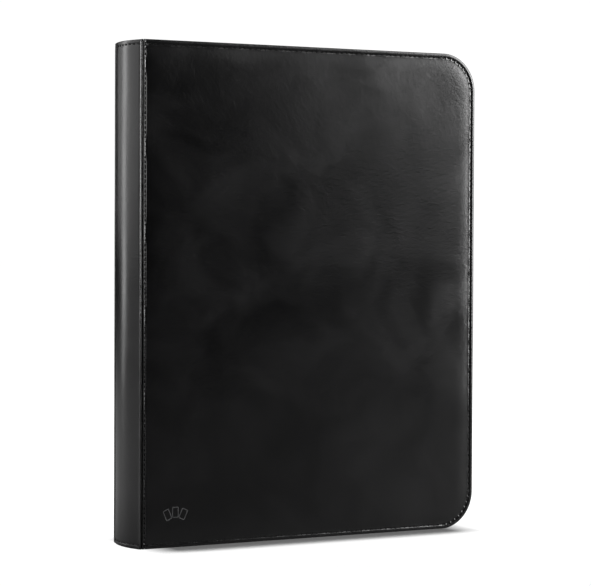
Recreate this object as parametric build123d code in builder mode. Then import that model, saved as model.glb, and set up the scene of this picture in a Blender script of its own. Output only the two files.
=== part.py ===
"""Zip-up trading card binder, standing closed on its bottom edge.

Frame: origin at the middle of the footprint on the floor, +Z up the spine, +X from the spine
to the fore edge, front cover on the -Y side and back cover on the +Y side. Millimetres.
"""

from build123d import *
import os

# Whole binder
height = 350.0
cover_width = 274.5  # crease to fore edge
thickness = 40.0  # outside of one cover to outside of the other
corner_radius = 27.0  # the two fore edge corners of each cover
spine_bulge = 3.8  # how far the spine rounds out past the creases
body_gap = 0.3  # room left each side of a crease for the cover to turn

# Layers of a cover, as depths in from its outer face
leather = 1.0
tape_flange_depth = 1.6  # leather, then the flange of the zip tape
lip_depth = 2.4  # then the lining: the full thickness of the sewn lip
foam_depth = 2.0
board_depth = 4.0
cover_depth = 4.8  # outer face to the face of the lining
turned_edge = 1.2  # leather folded round the rim
turned_edge_depth = 1.8
board_inset = 7.0  # rim of the cover to the rim of its board
crease_inset = 8.0  # crease to the edge of the board
lining = 0.8

# Thread, sunk flush in the leather
thread_inset = 3.0
thread_width = 0.8
thread_depth = 0.5

# Zip, as insets from the rim of the cover
tape_flange_out = 1.3
tape_flange_in = 7.0
tape_out = 3.0
tape_in = 3.6
coil_out = 2.2
coil_in = 4.4
coil_height = 1.9
coil_slot = 1.4  # between the two coils, where the post of the slider runs
zip_end = 10.0  # crease to the end of the tape
coil_end = 14.5  # crease to the end of the coil
stop_length = 3.0
stop_overhang = 0.3  # how far a stop stands out past the coil on each face

# Spine
spine_board_width = 29.0
spine_board = 1.8
spine_lining = 0.7
inside_length = 338.0  # boards and lining stop this short of the full height
strip_width = 28.6
strip = 1.2
strip_length = 300.0

# Leaves, counted from the cover in to the middle of the stack
leaves_per_side = 10
leaf_thickness = 0.5
leaf_height = 290.0
leaf_pitch = 1.25
leaf_step = 1.0  # each leaf is hinged this much further from the spine than the one outside it
first_leaf_offset = 6.0  # crease to the fold of the outermost leaf
leaf_reach = 241.0  # crease to the free edge of every leaf
leaf_corner = 5.0
root_gap = 0.8  # fold of a leaf to the end of its root in the strip
fold_clear = 0.5  # fold of a leaf to the start of the stiff part

# Slider and pull
slider_length = 11.0
slider_width = 9.0
slider_plate = 0.9
slider_clear = 0.3  # plate to coil
slider_corner = 2.2
slider_parked = 7.0  # end of the coil to the middle of the slider when the zip is shut
post_width = 0.8
post_length = 3.0
crown_width = 2.2
crown_length = 7.0
crown_height = 2.6
arch_length = 5.0
arch_height = 1.7
arch_start = 0.3
pull_length = 24.0
pull_width = 6.0
pull_thickness = 1.1
pull_window_width = 3.4
pull_window_length = 5.0
pull_bar = 1.1

# Places
overall_length = spine_bulge + body_gap + cover_width
crease_x = spine_bulge + body_gap - overall_length / 2
fore_x = crease_x + cover_width
half_thickness = thickness / 2
middle_z = height / 2
spine_x = crease_x - body_gap
slider_x = crease_x + coil_end + slider_parked
slider_top = height - coil_out + slider_clear + slider_plate
pivot_z = slider_top + arch_start + arch_height / 2
front = -1
back = 1


def save(piece, name):
    """Label a finished piece and write it out."""
    piece.part.label = name
    export_step(piece.part, f"parts/{name}.step")


def cover_slabs(side, slabs):
    """Cover-shaped slabs, each (rim inset, crease inset, shallow depth, deep depth, mode).

    A slab is square at the crease and round at the fore edge.
    """
    with BuildPart() as piece:
        for inset, crease, shallow, deep, mode in slabs:
            plane = Plane(
                origin=(0, side * (half_thickness - deep), middle_z),
                x_dir=(1, 0, 0),
                z_dir=(0, side, 0),
            )
            left = crease_x + crease
            right = fore_x - inset
            with BuildSketch(plane) as outline:
                with Locations(((left + right) / 2, 0)):
                    Rectangle(right - left, height - 2 * inset)
                fillet(outline.vertices().group_by(Axis.X)[-1], radius=corner_radius - inset)
            extrude(amount=deep - shallow, mode=mode)
    return piece


def cover_leather(side):
    """Outer skin, its rim turned in round the edge, with a groove for the thread."""
    groove_out = thread_inset - thread_width / 2
    groove_in = thread_inset + thread_width / 2
    skin = cover_slabs(
        side,
        [
            (0, body_gap, 0, turned_edge_depth, Mode.ADD),
            (turned_edge, -body_gap, leather, turned_edge_depth, Mode.SUBTRACT),
            (groove_out, groove_out, 0, thread_depth, Mode.SUBTRACT),
            (groove_in, groove_in, 0, thread_depth, Mode.ADD),
        ],
    )
    return skin


def cover_thread(side):
    """The row of stitches round a cover, with its run beside the crease."""
    groove_out = thread_inset - thread_width / 2
    groove_in = thread_inset + thread_width / 2
    row = cover_slabs(
        side,
        [
            (groove_out, groove_out, 0, thread_depth, Mode.ADD),
            (groove_in, groove_in, 0, thread_depth, Mode.SUBTRACT),
        ],
    )
    return row


def cover_lining(side):
    """Inner cloth: sewn into the lip all round and raised over the board."""
    cloth = cover_slabs(
        side,
        [
            (tape_in + body_gap, body_gap * 5, tape_flange_depth, lip_depth, Mode.ADD),
            (board_inset - lining, crease_inset - lining, lip_depth, cover_depth, Mode.ADD),
            (board_inset, crease_inset, tape_flange_depth, board_depth, Mode.SUBTRACT),
        ],
    )
    return cloth


def zip_tape(side):
    """Half of the zip tape: a flange sewn under the lip, then a wall up to the coil."""
    coil_base = half_thickness - coil_slot / 2 - coil_height
    through = zip_end - 1
    tape = cover_slabs(
        side,
        [
            (tape_flange_out, zip_end, leather, tape_flange_depth, Mode.ADD),
            (tape_flange_in, through, leather, tape_flange_depth, Mode.SUBTRACT),
            (tape_out, zip_end, tape_flange_depth, coil_base, Mode.ADD),
            (tape_in, through, tape_flange_depth, coil_base, Mode.SUBTRACT),
        ],
    )
    return tape


def zip_coil(side):
    """Half of the zip's coil, as one strip along the edge of its tape."""
    top = half_thickness - coil_slot / 2
    coil = cover_slabs(
        side,
        [
            (coil_out, coil_end, top - coil_height, top, Mode.ADD),
            (coil_in, coil_end - 1, top - coil_height, top, Mode.SUBTRACT),
        ],
    )
    return coil


def spine_section(inset, low, high):
    """Rounded spine between two heights, its outer face drawn in by an inset."""
    with BuildPart() as piece:
        with BuildSketch(Plane.XY.offset(low)):
            with BuildLine():
                edge = half_thickness - inset
                ThreePointArc((spine_x, -edge), (spine_x - spine_bulge + inset, 0), (spine_x, edge))
                Line((spine_x, edge), (spine_x, -edge))
            make_face()
        extrude(amount=high - low)
    return piece


def upright_slab(left, right, half_width, length):
    """Flat slab standing across the spine, centred on the height of the binder."""
    with BuildPart() as piece:
        with BuildSketch(Plane.XY.offset(middle_z - length / 2)):
            with Locations(((left + right) / 2, 0)):
                Rectangle(right - left, 2 * half_width)
        extrude(amount=length)
    return piece


def leaf_fold(index):
    """Distance along X of the fold of a leaf, and its distance from the middle of the stack."""
    fold_x = crease_x + first_leaf_offset + index * leaf_step
    fold_y = (leaves_per_side - index - 0.5) * leaf_pitch
    return fold_x, fold_y


def zip_stops(side):
    """The clamps that end a coil, one at the top of the binder and one at the bottom."""
    near = coil_slot / 2
    far = near + coil_height
    middle_x = crease_x + (zip_end + coil_end) / 2
    clamp = coil_in - coil_out + 2 * stop_overhang
    with BuildPart() as piece:
        with BuildSketch(Plane.XZ.offset(-side * (near + far) / 2 - coil_height / 2)):
            inset = (coil_out + coil_in) / 2
            with Locations((middle_x, inset), (middle_x, height - inset)):
                Rectangle(stop_length, clamp)
        extrude(amount=coil_height)
        add(zip_coil(side).part, mode=Mode.SUBTRACT)
    return piece


os.makedirs("parts", exist_ok=True)

# Covers
for side, cover in ((front, "front"), (back, "back")):
    save(cover_leather(side), f"{cover}_leather")
    save(cover_thread(side), f"{cover}_stitching")
    save(cover_slabs(side, [(board_inset, crease_inset, leather, foam_depth, Mode.ADD)]), f"{cover}_foam")
    save(cover_slabs(side, [(board_inset, crease_inset, foam_depth, board_depth, Mode.ADD)]), f"{cover}_board")
    save(cover_lining(side), f"{cover}_lining")
    save(zip_tape(side), f"{cover}_zip_tape")
    save(zip_coil(side), f"{cover}_zip_coil")
    save(zip_stops(side), f"{cover}_zip_stops")

# Spine: skin over foam, its two short rows of thread, board, lining and the strip of leaf roots
thread_low = thread_inset - thread_width / 2
thread_high = thread_inset + thread_width / 2
rows = ((thread_low, thread_high), (height - thread_high, height - thread_low))
spine_thread_fill = [spine_section(0, low, high) for low, high in rows]
spine_thread_core = spine_section(thread_depth, 0, height)
spine_core = spine_section(leather, 0, height)
spine_whole = spine_section(0, 0, height)

with BuildPart() as spine_stitching:
    add([row.part for row in spine_thread_fill])
    add(spine_thread_core.part, mode=Mode.SUBTRACT)
save(spine_stitching, "spine_stitching")

with BuildPart() as spine_leather:
    add(spine_whole.part)
    add(spine_core.part, mode=Mode.SUBTRACT)
    add(spine_stitching.part, mode=Mode.SUBTRACT)
save(spine_leather, "spine_leather")

save(spine_section(leather, middle_z - inside_length / 2, middle_z + inside_length / 2), "spine_foam")

board_left = crease_x - body_gap
board_right = board_left + spine_board
strip_left = board_right + spine_lining
strip_right = strip_left + strip
save(upright_slab(board_left, board_right, spine_board_width / 2, inside_length), "spine_board")
save(upright_slab(board_right, strip_left, spine_board_width / 2, inside_length), "spine_lining")

strip_slab = upright_slab(strip_left, strip_right, strip_width / 2, strip_length)
with BuildPart() as binding_strip:
    add(strip_slab.part)
    for index in range(leaves_per_side):
        fold_x, fold_y = leaf_fold(index)
        root_length = fold_x - root_gap - strip_right
        with BuildSketch(Plane.XY.offset(middle_z - leaf_height / 2)):
            with Locations(*[(strip_right + root_length / 2, side * fold_y) for side in (front, back)]):
                Rectangle(root_length, leaf_thickness)
        extrude(amount=leaf_height)
save(binding_strip, "leaf_binding_strip")

row_y = (leaves_per_side - 0.5) * leaf_pitch + thread_width * 2
with BuildPart() as binding_stitching:
    with BuildSketch(Plane.XY.offset(middle_z - strip_length / 2 + thread_inset)):
        with Locations((strip_right + thread_depth / 2, row_y), (strip_right + thread_depth / 2, -row_y)):
            Rectangle(thread_depth, thread_width)
    extrude(amount=strip_length - 2 * thread_inset)
save(binding_stitching, "binding_stitching")

# Leaves, numbered from the front cover to the back cover
for number in range(2 * leaves_per_side):
    side = front if number < leaves_per_side else back
    index = min(number, 2 * leaves_per_side - 1 - number)
    fold_x, fold_y = leaf_fold(index)
    left = fold_x + fold_clear
    right = crease_x + leaf_reach
    leaf_face = Plane.XZ.offset(-side * fold_y - leaf_thickness / 2)
    with BuildPart() as leaf:
        with BuildSketch(leaf_face) as outline:
            with Locations(((left + right) / 2, middle_z)):
                Rectangle(right - left, leaf_height)
            fillet(outline.vertices().group_by(Axis.X)[-1], radius=leaf_corner)
        extrude(amount=leaf_thickness)
    save(leaf, f"leaf_{number + 1:02d}")

# Slider on the top edge: two plates joined by a post in its nose, which faces the spine
low_plate_z = height - coil_in - slider_clear - slider_plate
high_plate_z = slider_top - slider_plate
with BuildPart() as zip_slider:
    for plate_z in (low_plate_z, high_plate_z):
        with BuildSketch(Plane.XY.offset(plate_z)) as plate:
            with Locations((slider_x, 0)):
                Rectangle(slider_length, slider_width)
            fillet(plate.vertices(), radius=slider_corner)
        extrude(amount=slider_plate)
    with BuildSketch(Plane.XY.offset(low_plate_z + slider_plate)):
        with Locations((slider_x - (slider_length - post_length) / 2, 0)):
            Rectangle(post_length, post_width)
    extrude(amount=high_plate_z - low_plate_z - slider_plate)
    with BuildSketch(Plane.XZ.offset(-crown_width / 2)) as arch:
        with Locations((slider_x, slider_top + crown_height / 2)):
            Rectangle(crown_length, crown_height)
        fillet(arch.vertices().group_by(Axis.Y)[-1], radius=arch_height / 2)
        with Locations((slider_x, slider_top + arch_start + arch_height / 2)):
            Rectangle(arch_length, arch_height, mode=Mode.SUBTRACT)
    extrude(amount=crown_width)
save(zip_slider, "zip_slider")

# Pull: a flat tab lying back over the shut zip, with the bar of its window under the crown
with BuildPart() as zip_pull:
    with BuildSketch(Plane.XY.offset(pivot_z - pull_thickness / 2)) as tab:
        with Locations((slider_x + pull_length / 2 - pull_bar / 2, 0)):
            Rectangle(pull_length, pull_width)
        fillet(tab.vertices().group_by(Axis.X)[-1], radius=pull_width / 3)
        with Locations((slider_x + (pull_bar + pull_window_length) / 2, 0)):
            Rectangle(pull_window_length, pull_window_width, mode=Mode.SUBTRACT)
    extrude(amount=pull_thickness)
save(zip_pull, "zip_pull")

print(f"crease x {crease_x:.3f}, fore edge x {fore_x:.3f}, pull pivot x {slider_x:.3f} z {pivot_z:.3f}")
for index in range(leaves_per_side):
    fold_x, fold_y = leaf_fold(index)
    print(f"leaf fold {index + 1}: x {fold_x:.3f}, y {fold_y:.3f}")
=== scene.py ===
import math
import bmesh
import bpy
from mathutils import Matrix, Vector, noise


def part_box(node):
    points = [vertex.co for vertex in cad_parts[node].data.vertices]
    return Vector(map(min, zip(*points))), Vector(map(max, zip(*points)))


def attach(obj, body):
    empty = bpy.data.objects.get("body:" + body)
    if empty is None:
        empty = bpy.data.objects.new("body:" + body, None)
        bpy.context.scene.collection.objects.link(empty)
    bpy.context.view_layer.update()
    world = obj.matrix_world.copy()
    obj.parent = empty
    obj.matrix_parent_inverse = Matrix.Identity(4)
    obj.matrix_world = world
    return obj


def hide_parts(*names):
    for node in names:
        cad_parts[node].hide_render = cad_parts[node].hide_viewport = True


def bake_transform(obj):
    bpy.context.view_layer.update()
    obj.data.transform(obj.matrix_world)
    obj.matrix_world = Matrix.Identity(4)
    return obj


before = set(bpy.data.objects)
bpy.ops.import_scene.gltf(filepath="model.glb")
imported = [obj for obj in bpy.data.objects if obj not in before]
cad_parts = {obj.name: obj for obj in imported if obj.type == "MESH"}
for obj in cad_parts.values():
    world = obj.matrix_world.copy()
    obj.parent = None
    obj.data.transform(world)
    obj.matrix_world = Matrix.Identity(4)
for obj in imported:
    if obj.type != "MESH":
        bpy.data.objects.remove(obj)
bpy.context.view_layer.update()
mm = 0.001
near = 0.01 * mm

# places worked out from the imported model
leatherLow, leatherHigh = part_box("front_leather")
spineBoardLow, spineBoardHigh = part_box("spine_board")
creaseX = spineBoardLow.x + 0.3 * mm
foreX = leatherHigh.x
tall = leatherHigh.z
outerY = leatherLow.y
cornerRadius = 27 * mm
spineLeft = creaseX - 0.3 * mm
spineBulge = 3.8 * mm
spineRadius = (outerY ** 2 + spineBulge ** 2) / (2 * spineBulge)
spineCentreX = spineLeft - spineBulge + spineRadius


# helpers

def onlySelect(piece):
    bpy.ops.object.select_all(action="DESELECT")
    piece.select_set(True)
    bpy.context.view_layer.objects.active = piece


def editPiece(piece, mode="VERT"):
    onlySelect(piece)
    bpy.ops.object.mode_set(mode="EDIT")
    bpy.ops.mesh.select_mode(type=mode)
    bpy.ops.mesh.select_all(action="DESELECT")


def leaveEdit():
    bpy.ops.object.mode_set(mode="OBJECT")


def selectAll():
    bpy.ops.mesh.select_all(action="SELECT")


def pick(piece, kind, test):
    mesh = bmesh.from_edit_mesh(piece.data)
    for part in getattr(mesh, kind):
        part.select = test(part)
    mesh.select_flush_mode()
    bmesh.update_edit_mesh(piece.data)


def slide(x=0.0, y=0.0, z=0.0):
    bpy.ops.transform.translate(value=(x, y, z))


def extrudeBy(x=0.0, y=0.0, z=0.0):
    bpy.ops.mesh.extrude_region_move(TRANSFORM_OT_translate={"value": (x, y, z)})


def newPiece(name):
    piece = bpy.context.active_object
    piece.name = name
    piece.data.name = name
    bpy.ops.object.transform_apply(location=True, rotation=True, scale=True)
    return piece


def applyModifiers(piece):
    onlySelect(piece)
    for modifier in list(piece.modifiers):
        bpy.ops.object.modifier_apply(modifier=modifier.name)


def closeUp(piece, angle=38, weld=0.004):
    editPiece(piece)
    selectAll()
    bpy.ops.mesh.remove_doubles(threshold=weld * mm)
    bpy.ops.mesh.normals_make_consistent(inside=False)
    leaveEdit()
    bpy.ops.object.shade_smooth_by_angle(angle=math.radians(angle))


def moveVerts(piece, place):
    for vert in piece.data.vertices:
        vert.co = place(vert.co)
    piece.data.update()


def layAlong(source, name, places):
    # one mesh holding a copy of the source at each place
    points = [vert.co.copy() for vert in source.data.vertices]
    sides = [list(face.vertices) for face in source.data.polygons]
    verts, faces = [], []
    for place in places:
        start = len(verts)
        verts.extend(place @ point for point in points)
        faces.extend([start + index for index in side] for side in sides)
    mesh = bpy.data.meshes.new(name)
    mesh.from_pydata(verts, [], faces)
    mesh.update()
    piece = bpy.data.objects.new(name, mesh)
    bpy.context.collection.objects.link(piece)
    onlySelect(piece)
    bpy.ops.object.shade_smooth_by_angle(angle=math.radians(50))
    return piece


def removePiece(piece):
    bpy.data.objects.remove(piece)


def mirrorToBack(piece, name):
    twin = piece.copy()
    twin.data = piece.data.copy()
    twin.name = name
    twin.data.name = name
    bpy.context.collection.objects.link(twin)
    moveVerts(twin, lambda co: Vector((co.x, -co.y, co.z)))
    twin.data.flip_normals()
    return twin


def axesAt(place, along, out):
    # local X runs along, local Y points out of the surface
    side = along.cross(out).normalized()
    matrix = Matrix((along, out, side)).transposed().to_4x4()
    matrix.translation = place
    return matrix


def readTable(table, value):
    if value <= table[0][0]:
        return table[0][1]
    for (low, first), (high, second) in zip(table, table[1:]):
        if value <= high:
            return first + (second - first) * (value - low) / (high - low)
    return table[-1][1]


# the outline of a cover: square at the crease, round at the fore edge

rimRow = {"inset": 3.0 * mm, "pitch": 4.157 * mm}
seamRow = {"inset": 3.45 * mm, "pitch": 3.35 * mm}
straightX = foreX - cornerRadius
straightLength = straightX - creaseX
cornerReach = tall / 2 - cornerRadius
rowRadius = cornerRadius - rimRow["inset"]
cornerLength = rowRadius * math.pi / 2
rowLength = 2 * (straightLength + cornerLength + cornerReach)


def rimPlace(x, z):
    # distance in from the rim, the rim's outward direction, and how far round from the top of the crease
    up = z - tall / 2
    sign = 1 if up > 0 else -1
    fromFore = foreX - x
    fromEnd = tall / 2 - abs(up)
    if x > straightX and abs(up) > cornerReach:
        outX, outZ = x - straightX, abs(up) - cornerReach
        radius = max(math.hypot(outX, outZ), 1e-9)
        inset = cornerRadius - radius
        direction = (outX / radius, sign * outZ / radius)
        run = straightLength + rowRadius * math.atan2(outX, outZ)
        if sign < 0:
            run = rowLength - run
    elif fromFore < fromEnd:
        inset = fromFore
        direction = (1, 0)
        run = straightLength + cornerLength + cornerReach - up
    else:
        inset = fromEnd
        direction = (0, sign)
        run = x - creaseX if sign > 0 else rowLength - (x - creaseX)
    return inset, direction, run


def rimPoint(run, inset):
    # the other way round: place, direction of travel and outward direction
    half = rowLength / 2
    sign = 1 if run < half else -1
    run = min(run, rowLength - run)
    radius = cornerRadius - inset
    if run < straightLength:
        x, up = creaseX + run, tall / 2 - inset
        travel, out = (1, 0), (0, 1)
    elif run < straightLength + cornerLength:
        turn = (run - straightLength) / rowRadius
        x = straightX + radius * math.sin(turn)
        up = cornerReach + radius * math.cos(turn)
        travel, out = (math.cos(turn), -math.sin(turn)), (math.sin(turn), math.cos(turn))
    else:
        x, up = foreX - inset, half - run
        travel, out = (0, -1), (1, 0)
    travelVector = Vector((travel[0] * sign, 0, travel[1]))
    outVector = Vector((out[0], 0, out[1] * sign))
    return Vector((x, 0, tall / 2 + sign * up)), travelVector, outVector


def coverOutline(name, inset, fromCrease, spacing, cornerSteps, columns=()):
    # an open chain of edges in the plane Y = 0: along the top, round the fore edge, back along the bottom
    left = creaseX + fromCrease
    right = foreX - inset
    height = tall - 2 * inset
    bpy.ops.mesh.primitive_plane_add(size=1, location=((left + right) / 2, 0, tall / 2),
                                     rotation=(math.pi / 2, 0, 0))
    bpy.context.active_object.scale = (right - left, height, 1)
    piece = newPiece(name)
    editPiece(piece)
    pick(piece, "verts", lambda vert: vert.co.x > right - near)
    bpy.ops.mesh.bevel(offset=cornerRadius - inset, segments=cornerSteps, affect="VERTICES")
    selectAll()
    bpy.ops.mesh.delete(type="ONLY_FACE")
    bpy.ops.mesh.select_mode(type="EDGE")
    pick(piece, "edges", lambda edge: all(vert.co.x < left + near for vert in edge.verts))
    bpy.ops.mesh.delete(type="EDGE")
    for column in columns:
        selectAll()
        bpy.ops.mesh.bisect(plane_co=(creaseX + column * mm, 0, 0), plane_no=(1, 0, 0))
    longest = 20 * mm
    lengths = sorted({round(edge.calc_length(), 5) for edge in bmesh.from_edit_mesh(piece.data).edges
                      if edge.calc_length() > longest})
    for length in lengths:
        pick(piece, "edges", lambda edge: abs(edge.calc_length() - length) < 0.02 * mm)
        bpy.ops.mesh.subdivide(number_cuts=round(length / spacing) - 1)
    selectAll()
    return piece


def placeSelected(piece, place):
    mesh = bmesh.from_edit_mesh(piece.data)
    for vert in mesh.verts:
        if vert.select:
            vert.co = place(vert.co)
    bmesh.update_edit_mesh(piece.data)


def ringTo(piece, inset, shift=0.0):
    # grow one more strip from the selected chain, set to an even distance from the rim
    def place(co):
        point = rimPoint(rimPlace(co.x, co.z)[2], inset * mm)[0]
        if co.x < straightX:
            point.x = co.x
        point.y = co.y + shift * mm
        return point
    bpy.ops.mesh.extrude_edges_move(TRANSFORM_OT_translate={"value": (0, 0, 0)})
    placeSelected(piece, place)


# materials

def newMaterial(name, colour, roughness, metallic=0.0):
    material = bpy.data.materials.new(name)
    material.use_nodes = True
    shader = material.node_tree.nodes["Principled BSDF"]
    shader.inputs["Base Color"].default_value = (*colour, 1)
    shader.inputs["Roughness"].default_value = roughness
    shader.inputs["Metallic"].default_value = metallic
    return material, material.node_tree.nodes, material.node_tree.links, shader


def coordinates(nodes):
    return nodes.new("ShaderNodeTexCoord").outputs["Object"]


def noiseNode(nodes, links, source, scale, detail=3.0, roughness=0.5, distortion=0.0):
    node = nodes.new("ShaderNodeTexNoise")
    node.inputs["Scale"].default_value = scale
    node.inputs["Detail"].default_value = detail
    node.inputs["Roughness"].default_value = roughness
    node.inputs["Distortion"].default_value = distortion
    links.new(source, node.inputs["Vector"])
    return node.outputs["Fac"]


def rampNode(nodes, links, source, stops):
    node = nodes.new("ShaderNodeValToRGB")
    ramp = node.color_ramp
    while len(ramp.elements) < len(stops):
        ramp.elements.new(0.5)
    for element, (position, colour) in zip(ramp.elements, stops):
        element.position = position
        element.color = (*colour, 1) if hasattr(colour, "__len__") else (colour, colour, colour, 1)
    links.new(source, node.inputs["Fac"])
    return node.outputs["Color"]


def bumpNode(nodes, links, height, strength, distance, under=None):
    node = nodes.new("ShaderNodeBump")
    node.inputs["Strength"].default_value = strength
    node.inputs["Distance"].default_value = distance
    links.new(height, node.inputs["Height"])
    if under is not None:
        links.new(under, node.inputs["Normal"])
    return node.outputs["Normal"]


leatherFinish = {
    "dark": (0.0007, 0.0007, 0.0008), "light": (0.0020, 0.0019, 0.0021),
    "cloudScale": 17.0, "coverGloss": (0.155, 0.23), "spineGloss": (0.19, 0.28),
    "grainScale": 900.0, "creaseScale": 240.0,
}


def leatherMaterial(name, gloss):
    material, nodes, links, shader = newMaterial(name, leatherFinish["dark"], 0.36)
    place = coordinates(nodes)
    cloud = noiseNode(nodes, links, place, leatherFinish["cloudScale"], 4, 0.55, 0.6)
    links.new(rampNode(nodes, links, cloud, [(0.35, leatherFinish["dark"]), (0.68, leatherFinish["light"])]),
              shader.inputs["Base Color"])
    rough = rampNode(nodes, links, cloud, [(0.32, gloss[0]), (0.7, gloss[1])])
    links.new(rough, shader.inputs["Roughness"])
    creases = noiseNode(nodes, links, place, leatherFinish["creaseScale"], 3, 0.6, 1.2)
    grain = noiseNode(nodes, links, place, leatherFinish["grainScale"], 2, 0.5)
    low = bumpNode(nodes, links, creases, 0.10, 0.0006)
    links.new(bumpNode(nodes, links, grain, 0.12, 0.00018, low), shader.inputs["Normal"])
    shader.inputs["Specular IOR Level"].default_value = 0.5
    return material


def threadMaterial():
    material, nodes, links, shader = newMaterial("blackThread", (0.004, 0.004, 0.0042), 0.62)
    place = coordinates(nodes)
    fibre = noiseNode(nodes, links, place, 5200.0, 2, 0.6)
    links.new(rampNode(nodes, links, fibre, [(0.3, (0.0015, 0.0015, 0.0015)),
                                             (0.75, (0.005, 0.005, 0.0052))]),
              shader.inputs["Base Color"])
    links.new(bumpNode(nodes, links, fibre, 0.5, 0.0001), shader.inputs["Normal"])
    shader.inputs["Specular IOR Level"].default_value = 0.08
    return material


def liningMaterial():
    material, nodes, links, shader = newMaterial("liningCloth", (0.04, 0.04, 0.043), 0.85)
    place = coordinates(nodes)
    weave = nodes.new("ShaderNodeTexWave")
    weave.inputs["Scale"].default_value = 380
    weave.inputs["Distortion"].default_value = 0.4
    links.new(place, weave.inputs["Vector"])
    across = nodes.new("ShaderNodeTexWave")
    across.bands_direction = "Z"
    across.inputs["Scale"].default_value = 380
    links.new(place, across.inputs["Vector"])
    cross = nodes.new("ShaderNodeMath")
    cross.operation = "MAXIMUM"
    links.new(weave.outputs["Fac"], cross.inputs[0])
    links.new(across.outputs["Fac"], cross.inputs[1])
    speck = noiseNode(nodes, links, place, 60, 3)
    links.new(rampNode(nodes, links, speck, [(0.3, (0.032, 0.032, 0.035)), (0.7, (0.055, 0.055, 0.059))]),
              shader.inputs["Base Color"])
    links.new(bumpNode(nodes, links, cross.outputs[0], 0.35, 0.0002), shader.inputs["Normal"])
    return material


def tapeMaterial():
    material, nodes, links, shader = newMaterial("zipTapeCloth", (0.02, 0.02, 0.021), 0.8)
    place = coordinates(nodes)
    ribs = nodes.new("ShaderNodeTexWave")
    ribs.bands_direction = "Y"
    ribs.inputs["Scale"].default_value = 260
    ribs.inputs["Distortion"].default_value = 0.6
    ribs.inputs["Detail Scale"].default_value = 3
    links.new(place, ribs.inputs["Vector"])
    speck = noiseNode(nodes, links, place, 700, 2)
    links.new(rampNode(nodes, links, speck, [(0.3, (0.016, 0.016, 0.017)), (0.7, (0.032, 0.032, 0.034))]),
              shader.inputs["Base Color"])
    links.new(bumpNode(nodes, links, ribs.outputs["Fac"], 0.45, 0.0002), shader.inputs["Normal"])
    return material


def wornMaterial(name, dark, light, roughness, scale, metallic=0.0, bump=0.05):
    # even stock with a little variation in colour and gloss
    material, nodes, links, shader = newMaterial(name, dark, roughness, metallic)
    place = coordinates(nodes)
    speck = noiseNode(nodes, links, place, scale, 3, 0.6)
    links.new(rampNode(nodes, links, speck, [(0.3, dark), (0.72, light)]), shader.inputs["Base Color"])
    links.new(rampNode(nodes, links, speck, [(0.3, roughness * 0.85), (0.7, min(1, roughness * 1.2))]),
              shader.inputs["Roughness"])
    links.new(bumpNode(nodes, links, speck, bump, 0.0002), shader.inputs["Normal"])
    return material


def clearFilmMaterial():
    # thin clear film: mostly see-through, with a pale sheen
    material, nodes, links, shader = newMaterial("clearPocketFilm", (0.20, 0.20, 0.21), 0.12)
    place = coordinates(nodes)
    ripple = noiseNode(nodes, links, place, 45, 2)
    links.new(bumpNode(nodes, links, ripple, 0.25, 0.0006), shader.inputs["Normal"])
    links.new(rampNode(nodes, links, ripple, [(0.3, 0.08), (0.7, 0.16)]), shader.inputs["Roughness"])
    shader.inputs["Specular IOR Level"].default_value = 1.0
    shader.inputs["Alpha"].default_value = 0.3
    return material


liningCloth = liningMaterial()
tapeCloth = tapeMaterial()
coilNylon = wornMaterial("coilNylon", (0.022, 0.022, 0.024), (0.045, 0.045, 0.047), 0.38, 900)
zipMetal = wornMaterial("gunmetalZip", (0.09, 0.09, 0.095), (0.16, 0.16, 0.165), 0.32, 300, 1.0)
greyBoard = wornMaterial("greyBoard", (0.22, 0.21, 0.19), (0.32, 0.30, 0.27), 0.9, 400, 0.0, 0.2)
leafFilm = wornMaterial("leafFilm", (0.014, 0.014, 0.015), (0.024, 0.024, 0.026), 0.42, 250, 0.0, 0.1)
pressedLeather = wornMaterial("pressedLeather", (0.026, 0.026, 0.027), (0.040, 0.040, 0.041), 0.35, 220)
clearFilm = clearFilmMaterial()

leather = leatherMaterial("blackLeatherette", leatherFinish["coverGloss"])
spineFinish = leatherMaterial("blackSpineLeatherette", leatherFinish["spineGloss"])
thread = threadMaterial()


def giveMaterial(piece, *materials):
    piece.data.materials.clear()
    for material in materials:
        piece.data.materials.append(material)


# camera, light and floor

cameraView = {"place": (-0.8457, -1.4692, 0.2191), "yaw": 29.88, "pitch": 1.50, "roll": 0.25, "lens": 143.3}


def addCamera():
    bpy.ops.object.camera_add(location=cameraView["place"])
    camera = bpy.context.active_object
    yaw, pitch = math.radians(cameraView["yaw"]), math.radians(cameraView["pitch"])
    ahead = Vector((math.sin(yaw) * math.cos(pitch), math.cos(yaw) * math.cos(pitch), -math.sin(pitch)))
    turn = ahead.to_track_quat("-Z", "Y").to_matrix().to_4x4()
    turn = turn @ Matrix.Rotation(math.radians(cameraView["roll"]), 4, "Z")
    camera.matrix_world = Matrix.Translation(cameraView["place"]) @ turn
    camera.data.lens = cameraView["lens"]
    camera.data.sensor_width = 36
    camera.data.clip_start = 0.01
    bpy.context.scene.camera = camera


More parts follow.
